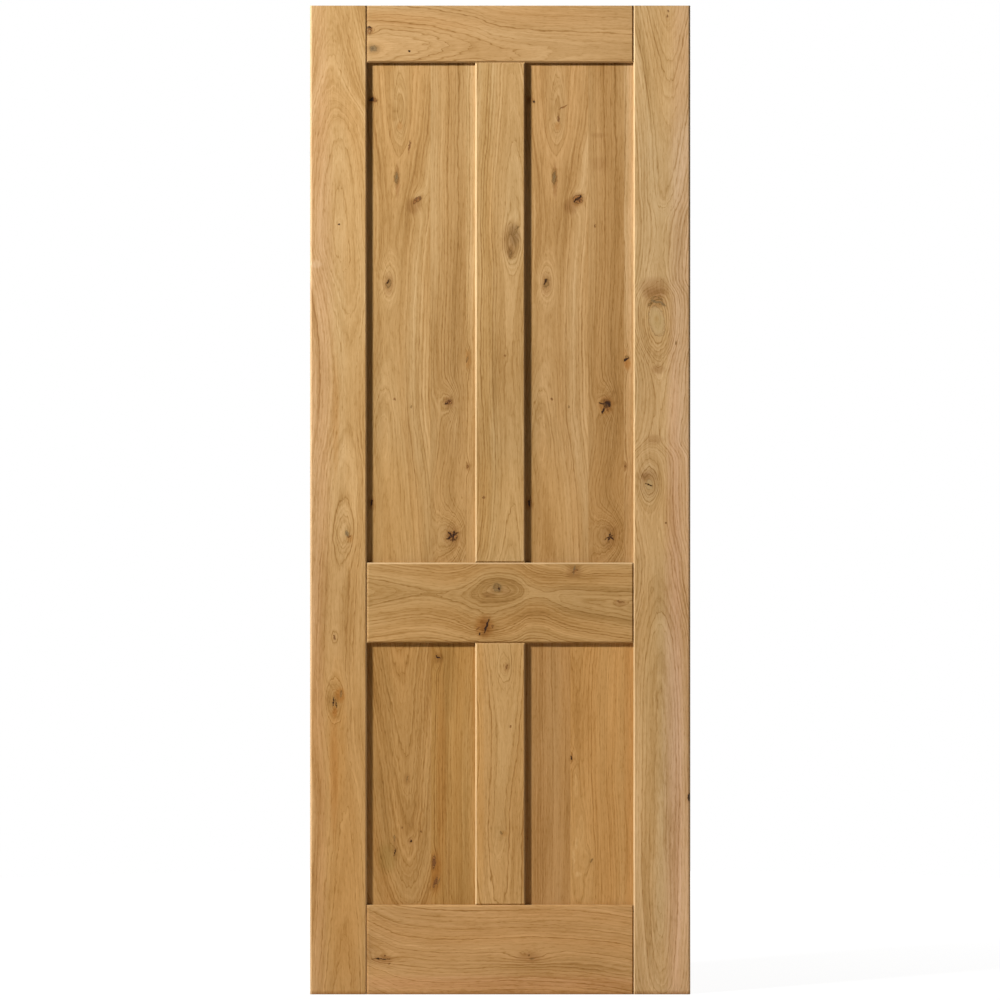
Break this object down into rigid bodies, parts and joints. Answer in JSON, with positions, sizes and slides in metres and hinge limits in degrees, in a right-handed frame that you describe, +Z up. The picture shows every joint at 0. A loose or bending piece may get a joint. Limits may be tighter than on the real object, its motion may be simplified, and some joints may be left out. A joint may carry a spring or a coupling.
{
  "type": "four-panel wooden door leaf",
  "caption": "Flat rectangular door leaf in knotty oak: stiles, rails and muntins with flat panels set back in grooves, for hanging on hinges in a door frame.",
  "frame": {"origin": "middle of the leaf's foot, halfway across its width and thickness", "axes": "+X to the right across the leaf, +Y through its thickness away from the front face, +Z up the leaf"},
  "size_m": [0.762, 0.035, 1.981],
  "materials": {
    "frame_oak": "planed and sanded oak, clear matt finish",
    "panel_oak": "planed and sanded oak, clear matt finish",
    "dowel_beech": "turned beech, bare"
  },
  "bodies": {
    "root": {"left_stile": "frame_oak", "right_stile": "frame_oak", "top_rail": "frame_oak", "lock_rail": "frame_oak", "bottom_rail": "frame_oak", "upper_muntin": "frame_oak", "lower_muntin": "frame_oak", "upper_left_panel_stave_1": "panel_oak", "upper_left_panel_stave_2": "panel_oak", "upper_left_panel_stave_3": "panel_oak", "upper_right_panel_stave_1": "panel_oak", "upper_right_panel_stave_2": "panel_oak", "upper_right_panel_stave_3": "panel_oak", "lower_left_panel_stave_1": "panel_oak", "lower_left_panel_stave_2": "panel_oak", "lower_right_panel_stave_1": "panel_oak", "lower_right_panel_stave_2": "panel_oak", "rail_dowels": "dowel_beech", "muntin_dowels": "dowel_beech"}
  },
  "joints": []
}
